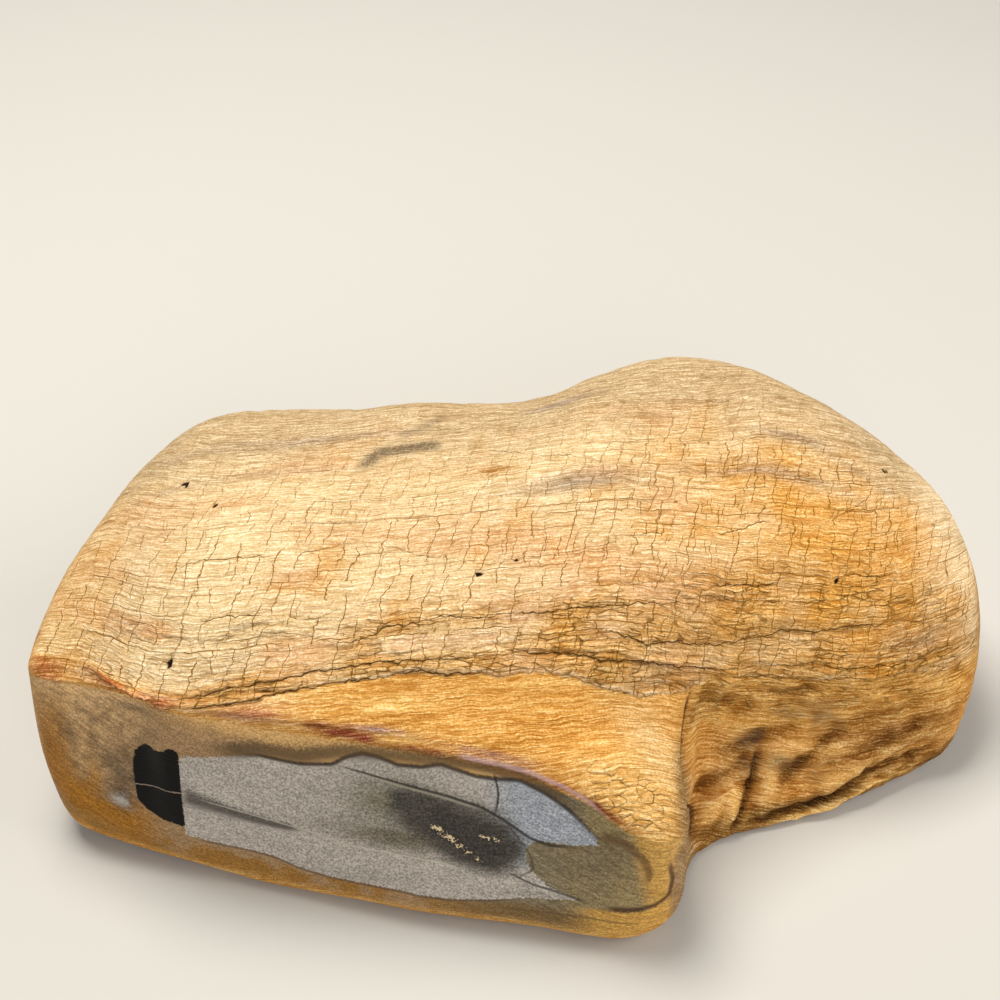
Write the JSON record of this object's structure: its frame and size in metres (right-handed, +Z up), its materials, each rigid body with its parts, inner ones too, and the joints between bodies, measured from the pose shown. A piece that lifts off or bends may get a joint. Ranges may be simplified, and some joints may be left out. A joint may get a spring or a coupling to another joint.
{
  "type": "petrified wood specimen",
  "caption": "Solid piece of petrified wood with grain cracks, a flat polished front face and a rounded knob, resting on a small flat spot.",
  "frame": {"origin": "on the surface it rests on, under the middle of the stone's outline", "axes": "+X along the grain towards the end with the hollow, +Y towards the back, +Z up"},
  "size_m": [0.2292, 0.142, 0.0731],
  "materials": {
    "silicified_wood": "matt"
  },
  "bodies": {
    "root": {"petrified_wood": "silicified_wood"}
  },
  "joints": []
}
